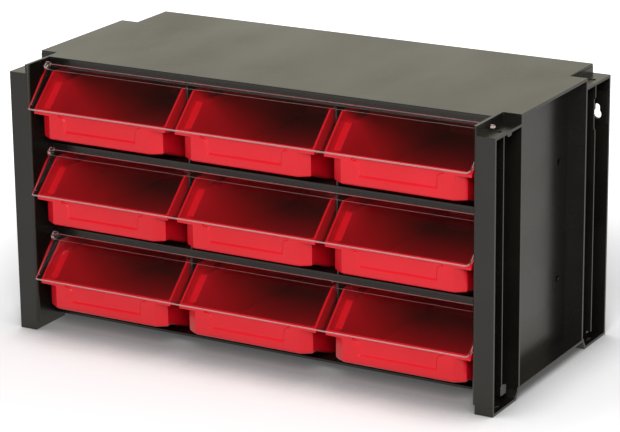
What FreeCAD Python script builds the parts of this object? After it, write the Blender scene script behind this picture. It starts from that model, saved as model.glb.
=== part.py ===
import FreeCAD, Part
import math
import os

import Sketcher

# Wall bin cabinet: a moulded carcass with three rows of three bins behind hinged clear flaps.
# All sizes are millimetres. Sketches measure depth from the front face of the side frames
# (depth 0) to the rear face. Each placement then moves that face forward of the origin, which
# lies under the middle of the whole cabinet, on the surface that the feet stand on.

document = FreeCAD.newDocument("wall_bin_cabinet")
sheet = document.addObject("Spreadsheet::Sheet", "dims")

DIMENSIONS = {
    # carcass
    "half_width": 200.0,
    "depth": 193.0,
    "height": 208.5,
    "row_pitch": 66.5,
    "foot_height": 6.8,
    "origin_depth": 95.0,
    # side frames
    "web_inner": 183.4,
    "web_thick": 2.5,
    "frame_wall": 2.0,
    "cap_level": 201.7,
    "ear_front": 41.3,
    "ear_rear": 151.8,
    "ear_seat": 1.0,
    "rib_thick": 1.3,
    "rib_front": 19.3,
    "rib_front_edge": 197.0,
    "rib_front_base": 16.0,
    "rib_rear": 165.9,
    "rib_rear_base": 10.5,
    "relief_depth": 1.0,
    "relief_low": 166.0,
    "relief_high": 190.5,
    "cap_hole_side": 194.1,
    "cap_hole_front": 16.5,
    "cap_hole_rear": 173.5,
    "cap_hole_radius": 2.6,
    "post_round": 2.5,
    "foot_round": 1.4,
    "foot_taper": 3.6,
    "boss_radius": 2.4,
    "boss_rise": 0.8,
    "socket_length": 9.0,
    "socket_width": 10.0,
    "socket_low": 8.0,
    "socket_high": 16.8,
    "socket_slope": 2.5,
    "keyhole_side": 191.0,
    "keyhole_level": 171.8,
    "keyhole_radius": 3.6,
    "keyhole_slot": 2.4,
    "keyhole_round": 2.35,
    "keyhole_top": 179.6,
    "pad_inner": 187.0,
    "pad_outer": 198.8,
    "pad_rise": 1.6,
    "pad_low": 165.0,
    "pad_high": 190.0,
    "fixing_depth": 135.0,
    "fixing_radius": 2.7,
    "fixing_low": 59.6,
    "fixing_high": 148.5,
    "catch_depth": 22.5,
    "catch_half": 3.4,
    "catch_drop": 2.0,
    "catch_round": 1.7,
    "groove_radius": 1.8,
    # panels
    "panel_thick": 2.1,
    "shelf_thick": 2.2,
    "panel_front": 28.0,
    "bottom_front": 26.0,
    "lip_thick": 1.8,
    "lip_drop": 6.5,
    "back_thick": 2.0,
    "back_recess": 2.0,
    "divider_side": 62.0,
    "divider_thick": 1.6,
    # bins
    "bin_pitch": 123.6,
    "bin_half": 57.7,
    "band_step": 1.3,
    "bin_wall": 1.6,
    "bin_front": 2.5,
    "bin_rear": 186.0,
    "bin_gap": 0.3,
    "bay_half": 40.4,
    "bay_corner": 49.7,
    "strip_front": 11.0,
    "strip_rear": 12.6,
    "nose_base": 10.2,
    "nose_run": 14.0,
    "ramp_end": 38.0,
    "band_base": 28.9,
    "rim_front": 31.0,
    "rim_shoulder": 28.8,
    "rim_top": 55.2,
    "cut_margin": 1.0,
    "band_ledge": 45.0,
    "band_run": 15.0,
    "band_knee": 32.5,
    "bin_corner": 6.0,
    "label_half": 30.0,
    "label_base": 16.5,
    "label_top": 28.9,
    "label_flare": 4.5,
    "label_depth": 1.4,
    "label_border": 1.6,
    "gusset_drop": 3.4,
    "gusset_run": 3.0,
    # flaps
    "axis_depth": 22.6,
    "axis_rise": 61.1,
    "flap_angle": 48.0,
    "flap_length": 37.481,
    "flap_outer": 0.7,
    "flap_inner": 1.1,
    "flap_back": 1.5,
    "flap_half": 182.6,
    "strip_width": 5.0,
    "strip_rise": 0.5,
    "cheek_thick": 1.0,
    "cheek_low": 2.4,
    "cheek_high": 4.1,
    "lug_radius": 3.2,
    "lug_width": 2.6,
    "pin_radius": 1.4,
    "pin_length": 5.8,
    "pin_play": 0.05,
    "flap_corner": 4.5,
}

for line, (name, value) in enumerate(DIMENSIONS.items(), start=1):
    sheet.set("A%d" % line, name.replace("_", " "))
    sheet.set("B%d" % line, str(value))
    sheet.setAlias("B%d" % line, name)
document.recompute()

# Levels and depths that follow from the driving sizes.
FLOOR = "(dims.foot_height + dims.frame_wall)"
PANEL_UNDER = "(dims.height - dims.panel_thick)"
WEB_OUTER = "(dims.web_inner + dims.web_thick)"
BACK_FACE = "(dims.depth - dims.back_recess - dims.back_thick)"
ROWS = ("bottom", "middle", "top")
COLUMNS = (("left", -1), ("centre", 0), ("right", 1))


def row_level(row):
    """Height of the surface that the bins of a row stand on."""
    return "(%s + %d * dims.row_pitch)" % (FLOOR, row)


def new_body(label):
    body = document.addObject("PartDesign::Body", label)
    body.Label = label
    return body


def place(piece, x="0", z="0", y="0"):
    """Move a piece to its place, with its depth counted from the middle of the cabinet."""
    piece.setExpression("Placement.Base.x", x)
    piece.setExpression("Placement.Base.y", "%s - dims.origin_depth" % y)
    piece.setExpression("Placement.Base.z", z)


def attach_sketch(body, name, role, level):
    """Sketch parallel to an origin plane of the body, at a level along its positive axis."""
    plane = next(item for item in body.Origin.OriginFeatures if item.Role == role)
    sketch = body.newObject("Sketcher::SketchObject", name)
    sketch.AttachmentSupport = (plane, [""])
    sketch.MapMode = "FlatFace"
    sign = "-" if role == "XZ_Plane" else ""
    sketch.setExpression("AttachmentOffset.Base.z", "%s(%s)" % (sign, level))
    return sketch


def bind(sketch, kind, *arguments):
    """Add a dimension whose last argument is an expression of the sheet."""
    expression = arguments[-1]
    value = float(sketch.evalExpression(expression))
    index = sketch.addConstraint(Sketcher.Constraint(kind, *arguments[:-1], value))
    sketch.setExpression("Constraints[%d]" % index, expression)


def fix_point(sketch, geometry, position, across, along):
    bind(sketch, "DistanceX", -1, 1, geometry, position, across)
    bind(sketch, "DistanceY", -1, 1, geometry, position, along)


def draw_round(sketch, corner, before, after, radius, lines):
    """Arc that rounds a corner between two lines, tangent to both."""
    size = float(sketch.evalExpression(radius))
    to_before = (before - corner).normalize()
    to_after = (after - corner).normalize()
    half_angle = to_before.getAngle(to_after) / 2
    middle = (to_before + to_after).normalize()
    centre = corner + middle * (size / math.sin(half_angle))
    reach = size / math.tan(half_angle)
    first = corner + to_before * reach - centre
    last = corner + to_after * reach - centre
    turns_left = to_after.cross(to_before).z > 0
    opening, closing = (first, last) if turns_left else (last, first)
    start = math.atan2(opening.y, opening.x)
    end = math.atan2(closing.y, closing.x)
    circle = Part.Circle(centre, FreeCAD.Vector(0, 0, 1), size)
    arc = sketch.addGeometry(Part.ArcOfCircle(circle, start, end if end > start else end + 2 * math.pi))
    mark = sketch.addGeometry(Part.Point(corner), True)
    entry, leave = (1, 2) if turns_left else (2, 1)
    sketch.addConstraint(Sketcher.Constraint("Tangent", lines[0], 2, arc, entry))
    sketch.addConstraint(Sketcher.Constraint("Tangent", lines[1], 1, arc, leave))
    sketch.addConstraint(Sketcher.Constraint("PointOnObject", mark, 1, lines[0]))
    sketch.addConstraint(Sketcher.Constraint("PointOnObject", mark, 1, lines[1]))
    bind(sketch, "Radius", arc, radius)
    return mark


def draw_outline(sketch, corners, rounds):
    """Closed outline through the corners. Rounds maps a corner's place in the list to a radius."""
    points = []
    for across, along in corners:
        u = float(sketch.evalExpression(across))
        v = float(sketch.evalExpression(along))
        points.append(FreeCAD.Vector(u, v, 0))
    count = len(points)
    trims = {}
    for index, radius in rounds.items():
        to_before = (points[index - 1] - points[index]).normalize()
        to_after = (points[(index + 1) % count] - points[index]).normalize()
        reach = float(sketch.evalExpression(radius)) / math.tan(to_before.getAngle(to_after) / 2)
        trims[index] = (points[index] + to_before * reach, points[index] + to_after * reach)
    for index in range(count):
        following = (index + 1) % count
        start = trims[index][1] if index in trims else points[index]
        end = trims[following][0] if following in trims else points[following]
        sketch.addGeometry(Part.LineSegment(start, end))
    for index in range(count):
        previous = (index - 1) % count
        if index in rounds:
            following = points[(index + 1) % count]
            mark = draw_round(sketch, points[index], points[previous], following, rounds[index],
                              (previous, index))
            fix_point(sketch, mark, 1, *corners[index])
        else:
            sketch.addConstraint(Sketcher.Constraint("Coincident", previous, 2, index, 1))
            fix_point(sketch, index, 1, *corners[index])


def sweep(body, kind, name, role, low, high, sketch):
    """Pad or pocket between two levels along the positive axis of the sketch's plane."""
    feature = body.newObject("PartDesign::" + kind, name)
    feature.Profile = sketch
    feature.Reversed = (kind == "Pad") == (role == "XZ_Plane")
    feature.setExpression("Length", "(%s) - (%s)" % (high, low))
    feature.Refine = False
    document.recompute()
    if not feature.Shape.isValid():
        raise ValueError("%s of %s is not a valid shape" % (name, body.Label))
    return feature


def add_prism(body, name, role, low, high, corners, rounds=None):
    sketch = attach_sketch(body, name + "_outline", role, low)
    draw_outline(sketch, corners, rounds or {})
    return sweep(body, "Pad", name, role, low, high, sketch)


def cut_prism(body, name, role, low, high, corners, rounds=None):
    volume = body.Shape.Volume
    sketch = attach_sketch(body, name + "_outline", role, low)
    draw_outline(sketch, corners, rounds or {})
    feature = sweep(body, "Pocket", name, role, low, high, sketch)
    require_less(body, name, volume)
    return feature


def draw_circle(sketch, centre, radius):
    u = float(sketch.evalExpression(centre[0]))
    v = float(sketch.evalExpression(centre[1]))
    size = float(sketch.evalExpression(radius))
    circle = Part.Circle(FreeCAD.Vector(u, v, 0), FreeCAD.Vector(0, 0, 1), size)
    index = sketch.addGeometry(circle)
    bind(sketch, "Radius", index, radius)
    fix_point(sketch, index, 3, *centre)


def add_discs(body, name, role, low, high, discs):
    """Round pads: each disc is its centre and its radius."""
    sketch = attach_sketch(body, name + "_outline", role, low)
    for centre, radius in discs:
        draw_circle(sketch, centre, radius)
    return sweep(body, "Pad", name, role, low, high, sketch)


def cut_discs(body, name, role, low, high, discs):
    """Round holes: each disc is its centre and its radius."""
    volume = body.Shape.Volume
    sketch = attach_sketch(body, name + "_outline", role, low)
    for centre, radius in discs:
        draw_circle(sketch, centre, radius)
    feature = sweep(body, "Pocket", name, role, low, high, sketch)
    require_less(body, name, volume)
    return feature


def require_less(body, name, volume):
    if not body.Shape.Volume < volume - 0.01:
        raise ValueError("%s of %s removes nothing" % (name, body.Label))


def sideways(side, distance):
    """Distance from the middle plane towards one side."""
    return "(%d * (%s))" % (side, distance)


def span(side, inner, outer):
    """Lower and upper level along X of a layer on one side of the middle plane."""
    first = sideways(side, inner)
    second = sideways(side, outer)
    return (first, second) if side > 0 else (second, first)


def rectangle(left, low, right, high):
    return [(left, low), (right, low), (right, high), (left, high)]


def side_frame(label, side):
    """Upright end of the carcass: a web with front and rear posts, each an open channel with a
    cap, a foot and a long rib, and the two walls of the recess between them."""
    body = new_body(label)
    web_inner = sideways(side, "dims.web_inner")
    web_outer = sideways(side, WEB_OUTER)
    outer = sideways(side, "dims.half_width")

    web = [
        ("0", "dims.foot_height"),
        ("dims.ear_front + dims.ear_seat", "dims.foot_height"),
        ("dims.ear_front + dims.ear_seat", FLOOR),
        ("dims.ear_rear - dims.ear_seat", FLOOR),
        ("dims.ear_rear - dims.ear_seat", "dims.foot_height"),
        ("dims.depth", "dims.foot_height"),
        ("dims.depth", PANEL_UNDER),
        ("dims.panel_front", PANEL_UNDER),
        ("dims.panel_front", "dims.height"),
        ("0", "dims.height"),
    ]
    low, high = span(side, "dims.web_inner", WEB_OUTER)
    add_prism(body, "web", "YZ_Plane", low, high, web)

    flange = [
        (web_outer, "0"),
        (outer, "0"),
        (outer, "dims.cap_level"),
        (web_inner, "dims.cap_level"),
        (web_inner, "dims.foot_height"),
        (web_outer, "dims.foot_height"),
    ]
    rounds = {0: "dims.foot_round"}
    rear_face = "dims.depth - dims.frame_wall"
    add_prism(body, "front_flange", "XZ_Plane", "0", "dims.frame_wall", flange, rounds)
    add_prism(body, "rear_flange", "XZ_Plane", rear_face, "dims.depth", flange, rounds)

    cap_low = "dims.cap_level - dims.frame_wall"
    front_cap = rectangle(web_outer, "0", outer, "dims.ear_front")
    rear_cap = rectangle(web_outer, "dims.ear_rear", outer, "dims.depth")
    add_prism(body, "front_cap", "XY_Plane", cap_low, "dims.cap_level", front_cap)
    add_prism(body, "rear_cap", "XY_Plane", cap_low, "dims.cap_level", rear_cap)

    low, high = span(side, WEB_OUTER, "dims.half_width")
    front_foot = [
        ("0", "0"),
        ("dims.ear_front - dims.foot_taper", "0"),
        ("dims.ear_front", "dims.foot_height"),
        ("dims.ear_front", FLOOR),
        ("0", FLOOR),
    ]
    add_prism(body, "front_foot", "YZ_Plane", low, high, front_foot)
    rear_foot = [("dims.ear_rear + dims.ear_front - (%s)" % depth, level) for depth, level in front_foot]
    rear_foot[0] = ("dims.depth", "0")
    rear_foot[4] = ("dims.depth", FLOOR)
    add_prism(body, "rear_foot", "YZ_Plane", low, high, rear_foot)
    low, high = span(side, "%s + dims.frame_wall" % WEB_OUTER, "dims.half_width")
    front_well = [
        ("dims.frame_wall", "dims.frame_wall"),
        ("dims.ear_front - dims.foot_taper - dims.frame_wall", "dims.frame_wall"),
        ("dims.ear_front - dims.frame_wall", "dims.foot_height"),
        ("dims.ear_front - dims.frame_wall", FLOOR),
        ("dims.frame_wall", FLOOR),
    ]
    cut_prism(body, "front_well", "YZ_Plane", low, high, front_well)
    rear_well = [
        ("dims.depth - dims.frame_wall", "dims.frame_wall"),
        ("dims.ear_rear + dims.foot_taper + dims.frame_wall", "dims.frame_wall"),
        ("dims.ear_rear + dims.frame_wall", "dims.foot_height"),
        ("dims.ear_rear + dims.frame_wall", FLOOR),
        ("dims.depth - dims.frame_wall", FLOOR),
    ]
    cut_prism(body, "rear_well", "YZ_Plane", low, high, rear_well)

    low, high = span(side, WEB_OUTER, "dims.half_width")
    walls = (("front_ear_wall", "dims.ear_front", "+"), ("rear_ear_wall", "dims.ear_rear", "-"))
    for name, face, inward in walls:
        seat = "%s %s dims.ear_seat" % (face, inward)
        inner = "%s %s dims.frame_wall" % (face, inward)
        wall = [
            (face, "dims.foot_height"),
            (seat, "dims.foot_height"),
            (seat, FLOOR),
            (inner, FLOOR),
            (inner, PANEL_UNDER),
            (face, PANEL_UNDER),
        ]
        add_prism(body, name, "YZ_Plane", low, high, wall)

    rib = rectangle(web_outer, "dims.rib_front_base", sideways(side, "dims.rib_front_edge"), cap_low)
    add_prism(body, "front_rib", "XZ_Plane", "dims.rib_front", "dims.rib_front + dims.rib_thick", rib)
    rib = rectangle(web_outer, "dims.rib_rear_base", outer, cap_low)
    rib_back = "dims.rib_rear + dims.rib_thick"
    add_prism(body, "rear_rib", "XZ_Plane", "dims.rib_rear", rib_back, rib)
    relief = [
        (outer, "dims.relief_low"),
        (outer, "dims.relief_high"),
        (sideways(side, "dims.half_width - dims.relief_depth"), "dims.relief_high - dims.relief_depth"),
        (sideways(side, "dims.half_width - dims.relief_depth"), "dims.relief_low + dims.relief_depth"),
    ]
    rounds = {2: "dims.relief_depth", 3: "dims.relief_depth"}
    cut_prism(body, "rib_relief", "XZ_Plane", "dims.rib_rear", rib_back, relief, rounds)

    past_round = "dims.post_round + dims.cut_margin"
    edge = [
        (sideways(side, "dims.web_inner - dims.cut_margin"), "-dims.cut_margin"),
        (sideways(side, "dims.web_inner + " + past_round), "-dims.cut_margin"),
        (sideways(side, "dims.web_inner + " + past_round), "0"),
        (web_inner, "0"),
        (web_inner, past_round),
        (sideways(side, "dims.web_inner - dims.cut_margin"), past_round),
    ]
    rounds = {3: "dims.post_round"}
    cut_prism(body, "post_edge", "XY_Plane", "dims.foot_height", "dims.height", edge, rounds)

    add_sockets(body, side)
    add_keyhole(body, side)
    cut_holes(body, side)
    place(body)
    return body


def add_sockets(body, side):
    """Blocks with a sloping top on the web above the feet, the bosses on the foot floors and the
    rounded tongue under the outer edge of the front cap."""
    low, high = span(side, WEB_OUTER, "%s + dims.socket_width" % WEB_OUTER)
    front = "dims.rib_front + dims.rib_thick"
    rear = "dims.rib_rear + dims.rib_thick"
    for name, near in (("front_socket", front), ("rear_socket", rear)):
        far = "%s + dims.socket_length" % near
        block = [
            (near, "dims.socket_low"),
            (far, "dims.socket_low"),
            (far, "dims.socket_high - dims.socket_slope"),
            (near, "dims.socket_high"),
        ]
        add_prism(body, name, "YZ_Plane", low, high, block)
    across = sideways(side, "dims.cap_hole_side")
    bosses = [
        ((across, "dims.cap_hole_front"), "dims.boss_radius"),
        ((across, "dims.cap_hole_rear"), "dims.boss_radius"),
    ]
    top = "dims.frame_wall + dims.boss_rise"
    add_discs(body, "foot_bosses", "XY_Plane", "dims.frame_wall", top, bosses)
    front = "dims.catch_depth - dims.catch_half"
    rear = "dims.catch_depth + dims.catch_half"
    cap_under = "dims.cap_level - dims.frame_wall"
    tongue = rectangle(front, cap_under + " - dims.catch_drop", rear, cap_under)
    rounds = {0: "dims.catch_round", 1: "dims.catch_round"}
    low, high = span(side, "dims.half_width - dims.rib_thick", "dims.half_width")
    add_prism(body, "cap_catch", "YZ_Plane", low, high, tongue, rounds)


def add_keyhole(body, side):
    """Hanging hole through a pad on the rear flange: a round entry with a narrower slot above it."""
    flange_face = "dims.depth - dims.frame_wall"
    near = flange_face + " - dims.pad_rise"
    inner_edge = sideways(side, "dims.pad_inner")
    pad = rectangle(inner_edge, "dims.pad_low", sideways(side, "dims.pad_outer"), "dims.pad_high")
    add_prism(body, "keyhole_pad", "XZ_Plane", near, flange_face, pad)
    centre = (sideways(side, "dims.keyhole_side"), "dims.keyhole_level")
    entry = [(centre, "dims.keyhole_radius")]
    cut_discs(body, "keyhole_entry", "XZ_Plane", near, "dims.depth", entry)
    slot = rectangle(
        sideways(side, "dims.keyhole_side - dims.keyhole_slot"),
        "dims.keyhole_level",
        sideways(side, "dims.keyhole_side + dims.keyhole_slot"),
        "dims.keyhole_top",
    )
    rounds = {2: "dims.keyhole_round", 3: "dims.keyhole_round"}
    cut_prism(body, "keyhole_slot", "XZ_Plane", near, "dims.depth", slot, rounds)


def cut_holes(body, side):
    """Cap holes, fixing holes of the web and one bore for a hinge pin in each row."""
    across = sideways(side, "dims.cap_hole_side")
    caps = [
        ((across, "dims.cap_hole_front"), "dims.cap_hole_radius"),
        ((across, "dims.cap_hole_rear"), "dims.cap_hole_radius"),
    ]
    cap_under = "dims.cap_level - dims.frame_wall"
    cut_discs(body, "cap_holes", "XY_Plane", cap_under, "dims.cap_level", caps)
    holes = [
        (("dims.fixing_depth", "dims.fixing_low"), "dims.fixing_radius"),
        (("dims.fixing_depth", "dims.fixing_high"), "dims.fixing_radius"),
    ]
    for row in range(len(ROWS)):
        axis = ("dims.axis_depth", "%s + dims.axis_rise" % row_level(row))
        holes.append((axis, "dims.pin_radius + dims.pin_play"))
    low, high = span(side, "dims.web_inner", WEB_OUTER)
    cut_discs(body, "web_holes", "YZ_Plane", low, high, holes)
    low, high = span(side, WEB_OUTER, "%s + dims.pin_length" % WEB_OUTER)
    cut_discs(body, "pin_groove", "YZ_Plane", low, high, [(axis, "dims.groove_radius")])


def eared_outline(narrow, front, rear, seat="0"):
    """Plan of a panel that is wider where it covers the recesses of the side frames."""
    ear_front = "dims.ear_front + %s" % seat
    ear_rear = "dims.ear_rear - %s" % seat
    right = [
        (narrow, front),
        (narrow, ear_front),
        ("dims.half_width", ear_front),
        ("dims.half_width", ear_rear),
        (narrow, ear_rear),
        (narrow, rear),
    ]
    left = [("-(%s)" % across, along) for across, along in reversed(right)]
    return right + left


def front_lip(body, level):
    """Downturned front edge of a panel, between the side frames."""
    behind = "dims.panel_front + dims.lip_thick"
    lip = rectangle("-dims.web_inner", "dims.panel_front", "dims.web_inner", behind)
    add_prism(body, "front_lip", "XY_Plane", "%s - dims.lip_drop" % level, level, lip)


def top_panel():
    body = new_body("top_panel")
    outline = eared_outline(WEB_OUTER, "dims.panel_front", "dims.depth")
    add_prism(body, "plate", "XY_Plane", PANEL_UNDER, "dims.height", outline)
    front_lip(body, PANEL_UNDER)
    place(body)
    return body


def bottom_panel():
    body = new_body("bottom_panel")
    outline = eared_outline("dims.web_inner", "dims.bottom_front", BACK_FACE, "dims.ear_seat")
    add_prism(body, "plate", "XY_Plane", "dims.foot_height", FLOOR, outline)
    place(body)
    return body


def shelf(label, row):
    body = new_body(label)
    outline = rectangle("-dims.web_inner", "dims.panel_front", "dims.web_inner", BACK_FACE)
    add_prism(body, "plate", "XY_Plane", "-dims.shelf_thick", "0", outline)
    front_lip(body, "0")
    place(body, z=row_level(row))
    return body


def back_panel():
    body = new_body("back_panel")
    face = rectangle("-dims.web_inner", "dims.foot_height", "dims.web_inner", PANEL_UNDER)
    rear = "%s + dims.back_thick" % BACK_FACE
    add_prism(body, "plate", "XZ_Plane", BACK_FACE, rear, face)
    place(body)
    return body


def divider(label, row, side):
    """Upright wall between two bins, notched at the top where the lip above it hangs down."""
    body = new_body(label)
    if row == 2:
        top = "%s - %s" % (PANEL_UNDER, row_level(2))
        notch = "%s - dims.lip_drop" % top
    else:
        top = "dims.row_pitch - dims.shelf_thick"
        notch = "dims.row_pitch - dims.lip_drop"
    behind_lip = "dims.panel_front + dims.lip_thick"
    outline = [
        ("dims.panel_front", "0"),
        (BACK_FACE, "0"),
        (BACK_FACE, top),
        (behind_lip, top),
        (behind_lip, notch),
        ("dims.panel_front", notch),
    ]
    half = "dims.divider_thick / 2"
    add_prism(body, "wall", "YZ_Plane", "-" + half, half, outline)
    place(body, x=sideways(side, "dims.divider_side"), z=row_level(row))
    return body


def bin_box(label, row, column):
    """Open-topped bin: a body with cut-back front corners under a wider band that follows the
    sloping rim, an undercut nose and a shallow label recess in its front face."""
    body = new_body(label)
    bottom = "dims.bin_gap"
    ahead = "dims.bin_front - dims.cut_margin"
    above = "dims.rim_top + dims.cut_margin"
    lower_half = "dims.bin_half - dims.band_step"
    lower_rear = "dims.bin_rear - dims.band_step"
    right = [
        ("dims.bay_half", "dims.bin_front"),
        ("dims.bay_corner", "dims.strip_front"),
        (lower_half, "dims.strip_rear"),
        (lower_half, lower_rear),
    ]
    left = [("-(%s)" % across, along) for across, along in reversed(right)]
    rounds = {3: "dims.bin_corner", 4: "dims.bin_corner"}
    add_prism(body, "lower_body", "XY_Plane", bottom, "dims.rim_top", right + left, rounds)
    band = [
        ("dims.bin_front", "dims.band_base"),
        ("dims.band_run", "dims.band_base"),
        ("dims.band_knee", "dims.band_ledge"),
        ("dims.bin_rear", "dims.band_ledge"),
        ("dims.bin_rear", "dims.rim_top"),
        ("dims.bin_front", "dims.rim_top"),
    ]
    add_prism(body, "band", "YZ_Plane", "-dims.bin_half", "dims.bin_half", band)
    slope = [
        (ahead, "dims.rim_front"),
        ("dims.bin_front", "dims.rim_front"),
        ("dims.rim_shoulder", "dims.rim_top"),
        ("dims.rim_shoulder", above),
        (ahead, above),
    ]
    cut_prism(body, "rim_slope", "YZ_Plane", "-dims.bin_half", "dims.bin_half", slope)
    ramp = [
        (ahead, bottom),
        ("dims.ramp_end", bottom),
        ("dims.nose_run", "dims.nose_base"),
        (ahead, "dims.nose_base"),
    ]
    cut_prism(body, "nose_ramp", "YZ_Plane", "-dims.bin_half", "dims.bin_half", ramp)
    hollow(body)
    add_label_recess(body)
    add_gussets(body, lower_half)
    place(body, x="%d * dims.bin_pitch" % column, z=row_level(row))
    return body


def add_label_recess(body):
    """Recess whose sides flare out under the rim, with a pad inside that keeps the wall even."""
    pad_half = "dims.label_half + dims.label_border"
    pad_base = "dims.label_base - dims.label_border"
    wall_face = "dims.bin_front + dims.bin_wall"
    pad = rectangle("-(%s)" % pad_half, pad_base, pad_half, "dims.rim_front")
    add_prism(body, "label_pad", "XZ_Plane", wall_face, wall_face + " + dims.label_depth", pad)
    flare = "dims.label_half + dims.label_flare + dims.label_border"
    recess = [
        ("-dims.label_half", "dims.label_base"),
        ("dims.label_half", "dims.label_base"),
        ("dims.label_half", "dims.label_top"),
        (flare, "dims.label_top"),
        (flare, "dims.rim_front"),
        ("-(%s)" % flare, "dims.rim_front"),
        ("-(%s)" % flare, "dims.label_top"),
        ("-dims.label_half", "dims.label_top"),
    ]
    rounds = {2: "dims.label_flare", 7: "dims.label_flare"}
    depth = "dims.bin_front + dims.label_depth"
    cut_prism(body, "label_recess", "XZ_Plane", "dims.bin_front", depth, recess, rounds)


def add_gussets(body, lower_half):
    """Concave fillings between the cut-back corners and the ends of the band above them."""
    back = "dims.strip_rear + dims.gusset_run"
    for name, side in (("left", -1), ("right", 1)):
        wall = sideways(side, lower_half)
        outer = sideways(side, "dims.bin_half")
        inside = sideways(side, lower_half + " - dims.bin_wall / 2")
        filling = [
            (inside, "dims.band_base"),
            (inside, "dims.band_base - dims.gusset_drop"),
            (wall, "dims.band_base - dims.gusset_drop"),
            (outer, "dims.band_base"),
        ]
        add_prism(body, name + "_gusset", "XZ_Plane", "dims.strip_rear", back, filling)


def hollow(body):
    """Shell the bin from its rim, leaving even walls and floor."""
    solid = body.Tip
    solid.Refine = True
    document.recompute()
    rim_faces = []
    for index, face in enumerate(solid.Shape.Faces, start=1):
        if face.normalAt(0, 0).z > 0.5:
            rim_faces.append("Face%d" % index)
    shell = body.newObject("PartDesign::Thickness", "open_shell")
    shell.Base = (solid, rim_faces)
    shell.Reversed = True
    shell.Mode = "Skin"
    shell.Join = "Intersection"
    shell.setExpression("Value", "dims.bin_wall")
    document.recompute()
    if not shell.Shape.Volume < solid.Shape.Volume / 2:
        raise ValueError("the bin did not open")


def flap(label, row):
    """Clear flap, drawn flat: hinge axis along X at the origin, free edge towards the front."""
    body = new_body(label)
    outline = rectangle("-dims.flap_half", "-dims.flap_length", "dims.flap_half", "dims.flap_back")
    rounds = {1: "dims.flap_corner"}
    add_prism(body, "pane", "XY_Plane", "-dims.flap_inner", "dims.flap_outer", outline, rounds)
    strip_front = "dims.flap_back - dims.strip_width"
    strip = rectangle("-dims.flap_half", strip_front, "dims.flap_half", "dims.flap_back")
    top = "dims.flap_outer + dims.strip_rise"
    add_prism(body, "hinge_strip", "XY_Plane", "dims.flap_outer", top, strip)
    for name, side in (("left", -1), ("right", 1)):
        low, high = span(side, "dims.flap_half - dims.cheek_thick", "dims.flap_half")
        cheek = [
            ("-dims.flap_length + dims.flap_corner", "-dims.flap_inner"),
            ("0", "-dims.flap_inner"),
            ("0", "-dims.cheek_high"),
            ("-dims.flap_length + dims.flap_corner", "-dims.cheek_low"),
        ]
        add_prism(body, name + "_cheek", "YZ_Plane", low, high, cheek)
        low, high = span(side, "dims.flap_half - dims.lug_width", "dims.flap_half")
        add_discs(body, name + "_lug", "YZ_Plane", low, high, [(("0", "0"), "dims.lug_radius")])
        low, high = span(side, "dims.flap_half", "dims.flap_half + dims.pin_length")
        add_discs(body, name + "_pin", "YZ_Plane", low, high, [(("0", "0"), "dims.pin_radius")])
    body.setExpression("Placement.Rotation.Axis.x", "1")
    body.setExpression("Placement.Rotation.Axis.z", "0")
    body.setExpression("Placement.Rotation.Angle", "dims.flap_angle")
    place(body, y="dims.axis_depth", z="%s + dims.axis_rise" % row_level(row))
    return body


pieces = [
    side_frame("side_frame_left", -1),
    side_frame("side_frame_right", 1),
    top_panel(),
    bottom_panel(),
    shelf("shelf_lower", 1),
    shelf("shelf_upper", 2),
    back_panel(),
]
for row, row_name in enumerate(ROWS):
    pieces.append(divider("divider_%s_left" % row_name, row, -1))
    pieces.append(divider("divider_%s_right" % row_name, row, 1))
    for column_name, column in COLUMNS:
        pieces.append(bin_box("bin_%s_%s" % (row_name, column_name), row, column))
    pieces.append(flap("flap_%s" % row_name, row))
document.recompute()

for item in document.Objects:
    if "Invalid" in item.State or "Error" in item.State:
        raise ValueError("%s failed to build" % item.Label)
os.makedirs("parts", exist_ok=True)
for piece in pieces:
    shape = piece.Shape
    if shape.isNull() or not shape.isValid() or len(shape.Solids) != 1:
        raise ValueError("%s is not one valid solid" % piece.Label)
    shape.exportStep("parts/%s.step" % piece.Label)
    box = shape.BoundBox
    print("%-22s %9.1f mm3  x %7.1f %7.1f  y %7.1f %7.1f  z %6.1f %6.1f" % (
        piece.Label, shape.Volume, box.XMin, box.XMax, box.YMin, box.YMax, box.ZMin, box.ZMax))
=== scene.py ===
import logging
import math
from dataclasses import dataclass
from enum import Enum

import bmesh
import bpy
from mathutils import Matrix, Vector


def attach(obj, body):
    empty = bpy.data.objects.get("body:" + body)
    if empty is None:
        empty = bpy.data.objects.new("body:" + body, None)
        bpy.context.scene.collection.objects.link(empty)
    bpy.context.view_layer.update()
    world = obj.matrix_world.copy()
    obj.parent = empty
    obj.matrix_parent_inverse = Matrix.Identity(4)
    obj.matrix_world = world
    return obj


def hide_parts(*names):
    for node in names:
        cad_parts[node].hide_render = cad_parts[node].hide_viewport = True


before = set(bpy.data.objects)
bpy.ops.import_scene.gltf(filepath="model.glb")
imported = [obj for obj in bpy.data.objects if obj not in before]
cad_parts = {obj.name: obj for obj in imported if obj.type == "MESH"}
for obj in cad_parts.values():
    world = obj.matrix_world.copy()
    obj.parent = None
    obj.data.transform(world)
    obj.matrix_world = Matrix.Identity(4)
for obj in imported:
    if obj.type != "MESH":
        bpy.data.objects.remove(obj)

log = logging.getLogger("wall_bin_cabinet")

# Metres in a millimetre, and millimetres from the cabinet's front face to the middle of its footprint
MM = 0.001
FRONT_TO_MIDDLE = 95.0


class Row(Enum):
    """Rows of the cabinet, named as their nodes are."""

    BOTTOM = "bottom"
    MIDDLE = "middle"
    TOP = "top"

    @property
    def level(self) -> float:
        """Height of the row's shelf, in millimetres."""
        return {"bottom": 8.8, "middle": 75.3, "top": 141.8}[self.value]


class Column(Enum):
    """Bins of a row, from left to right."""

    LEFT = "left"
    CENTRE = "centre"
    RIGHT = "right"

    @property
    def middle(self) -> float:
        """Middle of the column, in millimetres."""
        return {"left": -123.6, "centre": 0.0, "right": 123.6}[self.value]


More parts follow.
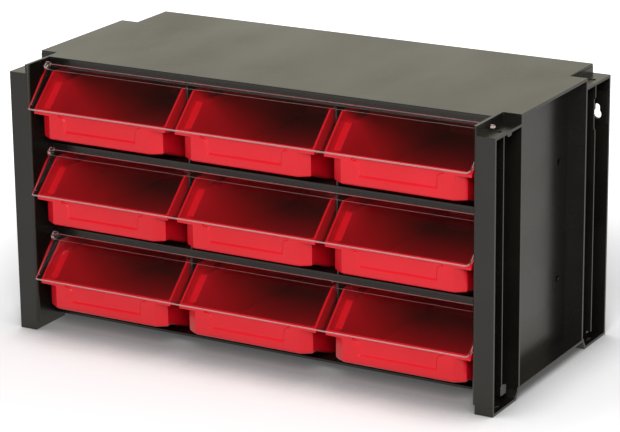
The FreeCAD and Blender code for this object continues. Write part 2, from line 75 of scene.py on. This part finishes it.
class ShaderGraph:
    """Thin layer over a node tree, so that a finish reads as a list of steps."""

    def __init__(self, owner: bpy.types.Material | bpy.types.World) -> None:
        """Start an empty node tree.

        Args:
            owner: Material or world that the tree belongs to.
        """
        owner.use_nodes = True
        self.owner = owner
        self.nodes = owner.node_tree.nodes
        self.links = owner.node_tree.links
        self.nodes.clear()

    def add(self, kind: str, settings: dict | None = None, inputs: dict | None = None) -> bpy.types.Node:
        """Add a node with its settings and inputs.

        Args:
            kind: Type name of the node, without its prefix.
            settings: Properties of the node.
            inputs: Values or linked sockets by input name or number.

        Returns:
            The new node.
        """
        node = self.nodes.new("ShaderNode" + kind)
        for key, value in (settings or {}).items():
            setattr(node, key, value)
        for key, value in (inputs or {}).items():
            socket = node.inputs[key]
            if isinstance(value, bpy.types.NodeSocket):
                self.links.new(value, socket)
            else:
                socket.default_value = value
        return node

    def combine(self, operation: str, first: bpy.types.NodeSocket,
                second: bpy.types.NodeSocket | float) -> bpy.types.NodeSocket:
        """Combine two values.

        Args:
            operation: Name of the sum, product or other step.
            first: First value.
            second: Second value.

        Returns:
            The result.
        """
        return self.add("Math", {"operation": operation}, {0: first, 1: second}).outputs[0]

    def object_coordinates(self) -> bpy.types.NodeSocket:
        """Coordinates that move with the piece, in metres."""
        return self.add("TexCoord").outputs["Object"]

    def along(self, vector: bpy.types.NodeSocket, direction: tuple[float, float, float]
              ) -> bpy.types.NodeSocket:
        """Reach of a vector along a direction.

        Args:
            vector: Vector that is measured.
            direction: Unit direction.

        Returns:
            The length along the direction.
        """
        node = self.add("VectorMath", {"operation": "DOT_PRODUCT"}, {0: vector, 1: direction})
        return node.outputs["Value"]

    def noise(self, scale: float, detail: float = 3.0, stretch: tuple[float, float, float] = (1, 1, 1)
              ) -> bpy.types.NodeSocket:
        """Noise over the piece.

        Args:
            scale: Waves per metre.
            detail: Number of finer octaves.
            stretch: Scale of each axis before the noise is read.

        Returns:
            The noise value, from 0 to 1.
        """
        mapping = self.add("Mapping", inputs={"Vector": self.object_coordinates(), "Scale": stretch})
        noise = self.add("TexNoise", inputs={"Vector": mapping.outputs[0], "Scale": scale, "Detail": detail})
        return noise.outputs["Fac"]

    def spread(self, value: bpy.types.NodeSocket, low: float, high: float,
               start: float = 0.3, end: float = 0.7) -> bpy.types.NodeSocket:
        """Map a value to a range.

        Args:
            value: Socket that is read.
            low: Result at start.
            high: Result at end.
            start: Value that gives low.
            end: Value that gives high.

        Returns:
            The mapped value, held between low and high.
        """
        inputs = {"Value": value, "From Min": start, "From Max": end, "To Min": low, "To Max": high}
        return self.add("MapRange", inputs=inputs).outputs["Result"]

    def choose(self, factor: bpy.types.NodeSocket, first: bpy.types.NodeSocket | float,
               second: bpy.types.NodeSocket | float) -> bpy.types.NodeSocket:
        """Mix two values.

        Args:
            factor: Share of the second value.
            first: Value at 0.
            second: Value at 1.

        Returns:
            The mixed value.
        """
        return self.add("Mix", inputs={0: factor, 2: first, 3: second}).outputs[0]

    def blend(self, factor: bpy.types.NodeSocket, first: tuple, second: tuple) -> bpy.types.NodeSocket:
        """Mix two colours.

        Args:
            factor: Share of the second colour.
            first: Colour at 0.
            second: Colour at 1.

        Returns:
            The mixed colour.
        """
        inputs = {0: factor, 6: (*first, 1), 7: (*second, 1)}
        return self.add("Mix", {"data_type": "RGBA"}, inputs).outputs[2]

    def bump(self, height: bpy.types.NodeSocket, strength: float, distance: float,
             under: bpy.types.NodeSocket | None = None) -> bpy.types.NodeSocket:
        """Turn a height into a normal.

        Args:
            height: Height value.
            strength: Share of the effect.
            distance: Height in metres of a full step.
            under: Normal that this one is laid over.

        Returns:
            The normal.
        """
        inputs = {"Height": height, "Strength": strength, "Distance": distance}
        if under is not None:
            inputs["Normal"] = under
        return self.add("Bump", inputs=inputs).outputs["Normal"]

    def finish(self, surface: bpy.types.NodeSocket, output: str = "OutputMaterial"
               ) -> bpy.types.Material | bpy.types.World:
        """Connect the surface and hand the owner over.

        Args:
            surface: Socket that is shown.
            output: Type name of the output node, without its prefix.

        Returns:
            The material or world that the tree belongs to.
        """
        self.add(output, inputs={"Surface": surface})
        return self.owner


@dataclass(frozen=True)
class CarcassPlastic:
    """Dark recycled plastic with a satin skin, faint flow marks and paler rubbed patches."""

    name: str = "dark_satin_plastic"
    deep: tuple[float, float, float] = (0.0050, 0.0046, 0.0036)
    rubbed: tuple[float, float, float] = (0.0090, 0.0083, 0.0065)
    roughness_low: float = 0.20
    roughness_high: float = 0.30
    grain_scale: float = 1400.0
    grain_depth: float = 0.00004
    grain_strength: float = 0.10
    flow_scale: float = 18.0
    flow_stretch: tuple[float, float, float] = (1.0, 0.4, 1.0)
    wave_depth: float = 0.0004
    wave_strength: float = 0.12
    refraction: float = 1.52

    def build(self) -> bpy.types.Material:
        """Make the material."""
        graph = ShaderGraph(bpy.data.materials.new(self.name))
        flow = graph.noise(self.flow_scale, 4.0, self.flow_stretch)
        grain = graph.noise(self.grain_scale, 2.0)
        colour = graph.blend(graph.spread(flow, 0.0, 1.0), self.deep, self.rubbed)
        roughness = graph.spread(flow, self.roughness_low, self.roughness_high)
        waves = graph.bump(flow, self.wave_strength, self.wave_depth)
        normal = graph.bump(grain, self.grain_strength, self.grain_depth, waves)
        shader = graph.add("BsdfPrincipled", inputs={
            "Base Color": colour, "Roughness": roughness, "Normal": normal,
            "IOR": self.refraction, "Specular IOR Level": 0.5})
        return graph.finish(shader.outputs[0])


@dataclass(frozen=True)
class BinPlastic:
    """Red moulded plastic: semi-gloss, with slight depth of colour and fine drag marks."""

    name: str = "red_moulded_plastic"
    full: tuple[float, float, float] = (0.70, 0.003, 0.013)
    worn: tuple[float, float, float] = (0.76, 0.006, 0.020)
    roughness_low: float = 0.28
    roughness_high: float = 0.34
    grain_scale: float = 1100.0
    grain_depth: float = 0.00004
    grain_strength: float = 0.10
    cloud_scale: float = 24.0
    drag_scale: float = 220.0
    drag_stretch: tuple[float, float, float] = (1.0, 0.06, 0.06)
    wave_depth: float = 0.0004
    wave_strength: float = 0.10
    refraction: float = 1.50
    inner_light: float = 0.06
    inner_reach: tuple[float, float, float] = (0.004, 0.0008, 0.0008)

    def build(self) -> bpy.types.Material:
        """Make the material."""
        graph = ShaderGraph(bpy.data.materials.new(self.name))
        cloud = graph.noise(self.cloud_scale, 4.0)
        grain = graph.noise(self.grain_scale, 2.0)
        drag = graph.noise(self.drag_scale, 3.0, self.drag_stretch)
        colour = graph.blend(graph.spread(cloud, 0.0, 1.0), self.full, self.worn)
        roughness = graph.spread(drag, self.roughness_low, self.roughness_high)
        waves = graph.bump(cloud, self.wave_strength, self.wave_depth)
        normal = graph.bump(grain, self.grain_strength, self.grain_depth, waves)
        shader = graph.add("BsdfPrincipled", inputs={
            "Base Color": colour, "Roughness": roughness, "Normal": normal,
            "IOR": self.refraction, "Specular IOR Level": 0.5,
            "Subsurface Weight": self.inner_light, "Subsurface Radius": self.inner_reach})
        return graph.finish(shader.outputs[0])


@dataclass(frozen=True)
class ClearPlastic:
    """Clear flap plastic with faint haze, handling marks and a frosted lower edge; its frosted edges carry a
    painted pink tint and a painted glow.
    """

    name: str = "clear_flap_plastic"
    tint: tuple[float, float, float] = (0.985, 0.97, 0.97)
    # Pink tint, glow tint and glow of the frosted edges are painted light: they stand in for red light from
    # the bins caught in the cut edges, and the glow is no lamp.
    edge_painted_pink: tuple[float, float, float] = (0.97, 0.80, 0.80)
    edge_roughness: float = 0.35
    edge_clearness: float = 0.55
    edge_glow_tint: tuple[float, float, float] = (1.0, 0.35, 0.35)
    edge_glow: float = 0.05
    direct_tint: tuple[float, float, float] = (0.90, 0.87, 0.87)
    refraction: float = 1.49
    haze_low: float = 0.01
    haze_high: float = 0.05
    smudge_scale: float = 30.0
    scratch_scale: float = 260.0
    scratch_stretch: tuple[float, float, float] = (0.15, 1.0, 1.0)
    scratch_strength: float = 0.03
    scratch_depth: float = 0.00005
    lean: float = 48.0
    lip_front: float = -3.0
    lip_height: float = 33.71
    cut_from: float = 0.92
    cut_to: float = 0.75
    band_share: float = 0.7
    band_wide: float = 0.0006
    band_soft: float = 0.0003

    def build(self, row: Row) -> bpy.types.Material:
        """Make the material of one row's flap.

        Args:
            row: Row that the flap closes.

        Returns:
            The material.
        """
        graph = ShaderGraph(bpy.data.materials.new("%s_%s" % (self.name, row.value)))
        haze = graph.spread(graph.noise(self.smudge_scale, 4.0), self.haze_low, self.haze_high)
        scratch = graph.noise(self.scratch_scale, 2.0, self.scratch_stretch)
        normal = graph.bump(scratch, self.scratch_strength, self.scratch_depth)
        body = graph.add("BsdfPrincipled", inputs={
            "Base Color": (*self.tint, 1), "Roughness": haze, "Normal": normal,
            "IOR": self.refraction, "Transmission Weight": 1.0})
        # Frosted edge shader: real roughness, with a painted pink tint and a painted glow.
        rim = graph.add("BsdfPrincipled", inputs={
            "Base Color": (*self.edge_painted_pink, 1), "Roughness": self.edge_roughness, "IOR": self.refraction,
            "Transmission Weight": self.edge_clearness,
            "Emission Color": (*self.edge_glow_tint, 1), "Emission Strength": self.edge_glow})
        pane = graph.add("MixShader", inputs={
            0: self.frosted(graph, row), 1: body.outputs[0], 2: rim.outputs[0]})
        direct = graph.add("BsdfTransparent", inputs={"Color": (*self.direct_tint, 1)})
        path = graph.add("LightPath").outputs
        looked_through = graph.combine("MAXIMUM", path["Is Camera Ray"], path["Is Transmission Ray"])
        surface = graph.add("MixShader", inputs={0: looked_through, 1: direct.outputs[0], 2: pane.outputs[0]})
        return graph.finish(surface.outputs[0])

    def frosted(self, graph: ShaderGraph, row: Row) -> bpy.types.NodeSocket:
        """Share of frosted surface, which carries a painted pink tint and a painted glow: the cut edges and a
        narrow band along the lower edge.

        Args:
            graph: Node tree of the material.
            row: Row that the flap closes.

        Returns:
            A socket that is 1 on frosted places.
        """
        lean = math.radians(self.lean)
        facing = graph.add("TexCoord").outputs["Normal"]
        pane_and_cheek = ((0.0, -math.sin(lean), math.cos(lean)), (1.0, 0.0, 0.0))
        shares = [graph.add("Math", {"operation": "ABSOLUTE"}, {0: graph.along(facing, direction)}).outputs[0]
                  for direction in pane_and_cheek]
        flat = graph.combine("MAXIMUM", *shares)
        cut = graph.spread(flat, 1.0, 0.0, self.cut_to, self.cut_from)
        down = Vector((0.0, -math.cos(lean), -math.sin(lean)))
        lip = Vector((0.0, self.lip_front - FRONT_TO_MIDDLE, row.level + self.lip_height)) * MM
        band_end = down.dot(lip) - self.band_soft
        band_start = down.dot(lip) - self.band_wide
        reach = graph.along(graph.object_coordinates(), tuple(down))
        band = graph.spread(reach, 0.0, self.band_share, band_start, band_end)
        return graph.combine("MAXIMUM", cut, band)


@dataclass(frozen=True)
class StudioFloor:
    """Pale floor that renders white to the camera, keeps the shadow and throws back a softer light; near the
    cabinet it is darkened by a painted contact shadow and painted shade.
    """

    name: str = "studio_floor"
    seen_albedo: float = 0.96
    thrown_albedo: float = 0.62
    mottle_scale: float = 1.5
    mottle_share: float = 0.01
    # The glow seen by the camera is weaker near the cabinet than far away: painted shade round the cabinet.
    seen_lift: float = 0.24
    far_lift: float = 0.95
    near_reach: float = 0.26
    far_reach: float = 0.60
    # Ambient occlusion settings that darken the floor near the cabinet: painted contact shadow.
    contact_reach: float = 0.07
    contact_shade: float = 0.30
    contact_start: float = 0.40
    contact_end: float = 0.90
    contact_samples: int = 8
    mirrored_lift: float = 0.40
    mirrored_tint: tuple[float, float, float] = (1.0, 0.93, 0.83)

    def build(self) -> bpy.types.Material:
        """Make the material."""
        graph = ShaderGraph(bpy.data.materials.new(self.name))
        path = graph.add("LightPath").outputs
        seen = graph.combine("MAXIMUM", path["Is Camera Ray"], path["Is Transmission Ray"])
        mirrored = path["Is Glossy Ray"]
        mottle = graph.spread(graph.noise(self.mottle_scale, 2.0), -self.mottle_share, self.mottle_share)
        base = graph.spread(seen, self.thrown_albedo, self.seen_albedo, 0.0, 1.0)
        # Painted contact shadow: ambient occlusion darkens the floor's colour and glow near the cabinet.
        near = graph.add("AmbientOcclusion", {"samples": self.contact_samples},
                         {"Distance": self.contact_reach})
        painted_shadow_share = graph.spread(near.outputs["AO"], self.contact_shade, 1.0,
                                  self.contact_start, self.contact_end)
        shaded = graph.combine("MULTIPLY", graph.combine("ADD", base, mottle), painted_shadow_share)
        paint = graph.add("BsdfDiffuse", inputs={"Color": shaded})
        # Glow grows with distance from the cabinet, so the floor is darker near it: painted shade.
        reach = graph.add("VectorMath", {"operation": "LENGTH"}, {0: graph.object_coordinates()})
        paler = graph.spread(reach.outputs["Value"], self.seen_lift, self.far_lift,
                             self.near_reach, self.far_reach)
        shown = graph.combine("MULTIPLY", graph.combine("MULTIPLY", paler, seen), painted_shadow_share)
        lift = graph.combine("ADD", shown, graph.spread(mirrored, 0.0, self.mirrored_lift, 0.0, 1.0))
        tone = graph.blend(mirrored, (1, 1, 1), self.mirrored_tint)
        glow = graph.add("Emission", inputs={"Color": tone, "Strength": lift})
        total = graph.add("AddShader", inputs={0: paint.outputs[0], 1: glow.outputs[0]})
        return graph.finish(total.outputs[0])


@dataclass
class Dressing:
    """How a piece is softened: its edges are rounded as moulded edges are."""

    radius: float
    segments: int = 2
    crease: float = 35.0
    weld: float = 0.00001

    def apply(self, piece: bpy.types.Object, material: bpy.types.Material) -> None:
        """Round the edges of a piece and give it its finish.

        Args:
            piece: Node or new object.
            material: Finish of its surface.
        """
        piece.data.materials.clear()
        piece.data.materials.append(material)
        weld = piece.modifiers.new("weld", "WELD")
        weld.merge_threshold = self.weld
        bevel = piece.modifiers.new("rounded_edges", "BEVEL")
        bevel.width = self.radius
        bevel.segments = self.segments
        bevel.limit_method = "ANGLE"
        bevel.angle_limit = math.radians(self.crease)
        bevel.harden_normals = True
        bevel.use_clamp_overlap = True


@dataclass
class Carcass:
    """Side frames, panels, shelves, back and dividers, all of one dark plastic."""

    finish: CarcassPlastic
    frame_round: float = 0.5 * MM
    sheet_round: float = 0.3 * MM

    def dress(self) -> None:
        """Dress every node of the carcass."""
        material = self.finish.build()
        for name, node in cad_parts.items():
            if name.startswith(("bin_", "flap_")):
                continue
            thick = name.startswith("side_frame") or name == "top_panel"
            Dressing(self.frame_round if thick else self.sheet_round).apply(node, material)
            log.info("dressed %s", name)


@dataclass(frozen=True)
class BinForm:
    """Size of the moulded bin and of its solid, in millimetres from the bin's middle, front and shelf."""

    half: float = 52.4
    face_half: float = 44.2
    chamfer_back: float = 7.7
    inner_face_inset: float = 0.46
    inner_corner_back: float = 0.88
    wall: float = 1.6
    front: float = 2.5
    label_half: float = 31.5
    label_foot: float = 17.2
    label_floor_foot: float = 18.6
    label_depth: float = 1.4
    foot_round: float = 2.2
    nose_height: float = 10.2
    solid_half: float = 56.4
    solid_face_half: float = 40.4
    solid_inner_face_half: float = 39.8
    solid_corner: tuple[float, float] = (49.7, 11.0)
    solid_inner_corner: tuple[float, float] = (48.9, 12.5)
    solid_label_half: float = 30.0
    solid_label_foot: float = 16.5
    solid_flare_half: float = 36.1
    body_top: float = 46.6
    rear_round: float = 6.0
    rear_face: float = 184.7
    band_corner: tuple[float, float] = (56.1, 184.4)
    slack: float = 0.1

    def moved(self, side: float, depth: float, height: float) -> tuple[float, float, float]:
        """Move one corner of the solid to its place on the moulded bin.

        Args:
            side: Distance from the bin's middle.
            depth: Distance behind the cabinet's front.
            height: Height over the shelf.

        Returns:
            The new side, depth and height.
        """
        in_label = side < self.solid_flare_half + self.slack
        if in_label and depth < self.front + self.label_depth + self.slack:
            return self.moved_label(side, depth, height)
        for old, new in self.front_corners(depth):
            if self.at(side, depth, old):
                return (*new, height)
        if height < self.body_top + self.slack and self.on_lower_body(side, depth):
            return side - (self.solid_half - self.half), depth, height
        return side, depth, height

    def moved_label(self, side: float, depth: float, height: float) -> tuple[float, float, float]:
        """Slant the walls of the label recess.

        Args:
            side: Distance from the bin's middle.
            depth: Distance behind the cabinet's front.
            height: Height over the shelf.

        Returns:
            The new side, depth and height.
        """
        on_face = depth < self.front + self.slack
        at_foot = height < self.solid_label_foot + self.slack
        if at_foot and side < self.solid_label_half + self.slack:
            if on_face:
                return self.label_half, depth, self.label_foot
            return side, depth, self.label_floor_foot
        if on_face:
            solid_flare = self.solid_flare_half - self.solid_label_half
            flare = (self.solid_flare_half - self.label_half) / solid_flare
            return self.label_half + (side - self.solid_label_half) * flare, depth, height
        return side, depth, height

    def front_corners(self, depth: float) -> tuple:
        """Old and new places of the corners at the front of the lower body.

        Args:
            depth: Depth of the corner that is moved, kept where it stays on the front face.

        Returns:
            Pairs of a place on the solid and a place on the moulded bin.
        """
        return (
            ((self.solid_face_half, self.front), (self.face_half, depth)),
            ((self.solid_inner_face_half, self.front + self.wall),
             (self.face_half - self.inner_face_inset, depth)),
            (self.solid_corner, (self.half, self.chamfer_back)),
            (self.solid_inner_corner, (self.half - self.wall, self.chamfer_back + self.inner_corner_back)),
        )

    def at(self, side: float, depth: float, place: tuple[float, float]) -> bool:
        """Whether a corner stands at a place of the solid's plan.

        Args:
            side: Distance from the bin's middle.
            depth: Distance behind the cabinet's front.
            place: Side and depth of the place.

        Returns:
            True within the slack.
        """
        return abs(side - place[0]) < self.slack and abs(depth - place[1]) < self.slack

    def on_lower_body(self, side: float, depth: float) -> bool:
        """Whether a corner is on the side walls of the lower body or on its rounded rear corners.

        Args:
            side: Distance from the bin's middle.
            depth: Distance behind the cabinet's front.

        Returns:
            True for the outside and the inside of these walls.
        """
        walls = (self.solid_half, self.solid_half - self.wall)
        on_wall = any(abs(side - wall) < self.slack for wall in walls)
        behind = self.rear_face - self.rear_round - self.slack < depth < self.rear_face + self.slack
        outward = self.solid_half - self.rear_round - self.slack < side < self.solid_half + self.slack
        return on_wall or (behind and outward and not self.at(side, depth, self.band_corner))


@dataclass
class BinSet:
    """The nine bins, all alike, each made from its solid with a narrower lower body and rounded foot."""

    finish: BinPlastic
    form: BinForm
    edge_round: float = 0.45 * MM
    edge_segments: int = 3
    foot_segments: int = 4
    merge_within: float = 0.00002
    flat_within: float = 0.5
    crease: float = 35.0
    foot_crease: float = 40.0

    def mould(self, row: Row, column: Column, name: str) -> bpy.types.Mesh:
        """Make the mesh of one bin from its solid.

        Args:
            row: Row of the bin.
            column: Column of the bin.
            name: Node of the bin.

        Returns:
            The new mesh, in the frame's coordinates.
        """
        shape = bmesh.new()
        shape.from_mesh(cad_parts[name].data)
        bmesh.ops.remove_doubles(shape, verts=shape.verts, dist=self.merge_within)
        for corner in shape.verts:
            across = corner.co.x / MM - column.middle
            side, depth, height = self.form.moved(
                abs(across), corner.co.y / MM + FRONT_TO_MIDDLE, corner.co.z / MM - row.level)
            corner.co = Vector((column.middle + math.copysign(side, across),
                                depth - FRONT_TO_MIDDLE, height + row.level)) * MM
        bmesh.ops.dissolve_limit(shape, angle_limit=math.radians(self.flat_within),
                                 verts=shape.verts, edges=shape.edges)
        bmesh.ops.recalc_face_normals(shape, faces=shape.faces)
        feet = [edge for edge in shape.edges if self.at_foot(edge, row)]
        bmesh.ops.bevel(shape, geom=feet, offset=self.form.foot_round * MM, offset_type="OFFSET",
                        segments=self.foot_segments, profile=0.5, affect="EDGES", clamp_overlap=True)
        for face in shape.faces:
            face.smooth = True
        mesh = bpy.data.meshes.new("moulded_" + name)
        shape.to_mesh(mesh)
        shape.free()
        mesh.set_sharp_from_angle(angle=math.radians(self.crease))
        return mesh

    def at_foot(self, edge: bmesh.types.BMEdge, row: Row) -> bool:
        """Whether an edge runs round the outside of the bin's underside.

        Args:
            edge: Edge of the mesh.
            row: Row of the bin.

        Returns:
            True for the edges that are rounded.
        """
        highest = max(corner.co.z for corner in edge.verts) / MM - row.level
        if highest > self.form.nose_height + self.form.slack or len(edge.link_faces) != 2:
            return False
        faces_down = [face.normal.z < -0.5 for face in edge.link_faces]
        bent = edge.calc_face_angle_signed(0.0) > math.radians(self.foot_crease)
        return faces_down[0] != faces_down[1] and bent

    def dress(self) -> None:
        """Make and dress every bin."""
        material = self.finish.build()
        for row in Row:
            for column in Column:
                name = "bin_%s_%s" % (row.value, column.value)
                piece = bpy.data.objects.new("moulded_" + name, self.mould(row, column, name))
                bpy.context.scene.collection.objects.link(piece)
                Dressing(self.edge_round, self.edge_segments).apply(piece, material)
                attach(piece, name)
                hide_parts(name)
                log.info("moulded %s", name)


@dataclass
class FlapSet:
    """The three clear flaps."""

    finish: ClearPlastic
    edge_round: float = 0.3 * MM

    def dress(self) -> None:
        """Dress every flap."""
        for row in Row:
            name = "flap_%s" % row.value
            Dressing(self.edge_round).apply(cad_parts[name], self.finish.build(row))
            log.info("dressed %s", name)


@dataclass
class Studio:
    """Floor, world, lamp and camera."""

    floor: StudioFloor
    floor_radius: float = 8.0
    floor_sides: int = 96
    world_light: float = 0.38
    backdrop: float = 0.84
    backdrop_tint: tuple[float, float, float] = (1.0, 0.955, 0.78)
    backdrop_top: float = 0.35
    overhead_start: float = 0.70
    overhead: float = 0.06
    key_place: tuple[float, float, float] = (0.80, -1.75, 1.45)
    key_aim: tuple[float, float, float] = (0.0, 0.0, 0.1)
    key_size: float = 1.0
    key_power: float = 40.0
    eye: tuple[float, float, float] = (0.96829, -1.68711, 0.70366)
    yaw: float = 29.825
    pitch: float = 17.469
    roll: float = -0.688
    focal_pixels: float = 2723.3
    frame_pixels: float = 620.0
    sensor: float = 36.0
    nearest: float = 0.05
    farthest: float = 50.0

    def lay_floor(self) -> None:
        """Make the round floor that the cabinet stands on."""
        turns = [2 * math.pi * step / self.floor_sides for step in range(self.floor_sides)]
        rim = [(self.floor_radius * math.cos(turn), self.floor_radius * math.sin(turn), 0.0)
               for turn in turns]
        mesh = bpy.data.meshes.new("studio_floor")
        mesh.from_pydata(rim, [], [tuple(range(self.floor_sides))])
        mesh.materials.append(self.floor.build())
        floor = bpy.data.objects.new("studio_floor", mesh)
        bpy.context.scene.collection.objects.link(floor)

    def light_world(self) -> None:
        """White surroundings to the eye. Reflections show them warm white near the floor and dim overhead."""
        world = bpy.data.worlds.new("studio")
        bpy.context.scene.world = world
        graph = ShaderGraph(world)
        path = graph.add("LightPath").outputs
        height = graph.add("SeparateXYZ", inputs={0: graph.add("TexCoord").outputs["Generated"]})
        mirrored = graph.add("MapRange", {"interpolation_type": "SMOOTHSTEP"}, {
            "Value": height.outputs["Z"], "From Min": self.backdrop_top, "From Max": self.overhead_start,
            "To Min": self.backdrop, "To Max": self.overhead})
        glossy = graph.choose(path["Is Glossy Ray"], self.world_light, mirrored.outputs[0])
        direct = graph.combine("MAXIMUM", path["Is Camera Ray"], path["Is Transmission Ray"])
        strength = graph.choose(direct, glossy, 1.0)
        tone = graph.blend(path["Is Glossy Ray"], (1, 1, 1), self.backdrop_tint)
        background = graph.add("Background", inputs={"Color": tone, "Strength": strength})
        graph.finish(background.outputs[0], "OutputWorld")

    def hang_key_lamp(self) -> None:
        """Add the square soft lamp, in front on the right, that looks at the middle of the cabinet."""
        data = bpy.data.lights.new("key", "AREA")
        data.size = self.key_size
        data.energy = self.key_power
        lamp = bpy.data.objects.new("key", data)
        lamp.location = self.key_place
        aim = Vector(self.key_aim) - Vector(self.key_place)
        lamp.rotation_euler = aim.to_track_quat("-Z", "Y").to_euler()
        bpy.context.scene.collection.objects.link(lamp)

    def set_camera(self) -> None:
        """Stand the camera where the photograph was taken from."""
        yaw, pitch, roll = (math.radians(angle) for angle in (self.yaw, self.pitch, self.roll))
        ahead = Vector((-math.sin(yaw) * math.cos(pitch), math.cos(yaw) * math.cos(pitch), -math.sin(pitch)))
        level = Vector((math.cos(yaw), math.sin(yaw), 0))
        upright = level.cross(ahead)
        right = math.cos(roll) * level + math.sin(roll) * upright
        above = -math.sin(roll) * level + math.cos(roll) * upright
        data = bpy.data.cameras.new("camera")
        data.sensor_width = self.sensor
        data.lens = self.sensor * self.focal_pixels / self.frame_pixels
        data.clip_start = self.nearest
        data.clip_end = self.farthest
        camera = bpy.data.objects.new("camera", data)
        turn = Matrix((right, above, -ahead)).transposed().to_4x4()
        camera.matrix_world = Matrix.Translation(self.eye) @ turn
        bpy.context.scene.collection.objects.link(camera)
        bpy.context.scene.camera = camera

    def build(self) -> None:
        """Set up everything round the cabinet."""
        self.lay_floor()
        self.light_world()
        self.hang_key_lamp()
        self.set_camera()
        bpy.context.scene.view_settings.view_transform = "Standard"
        log.info("studio ready")


def main() -> None:
    """Build the cabinet's looks and the studio."""
    logging.basicConfig(level=logging.INFO, format="%(name)s: %(message)s")
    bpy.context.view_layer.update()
    Carcass(CarcassPlastic()).dress()
    BinSet(BinPlastic(), BinForm()).dress()
    FlapSet(ClearPlastic()).dress()
    Studio(StudioFloor()).build()


if __name__ == "__main__":
    main()
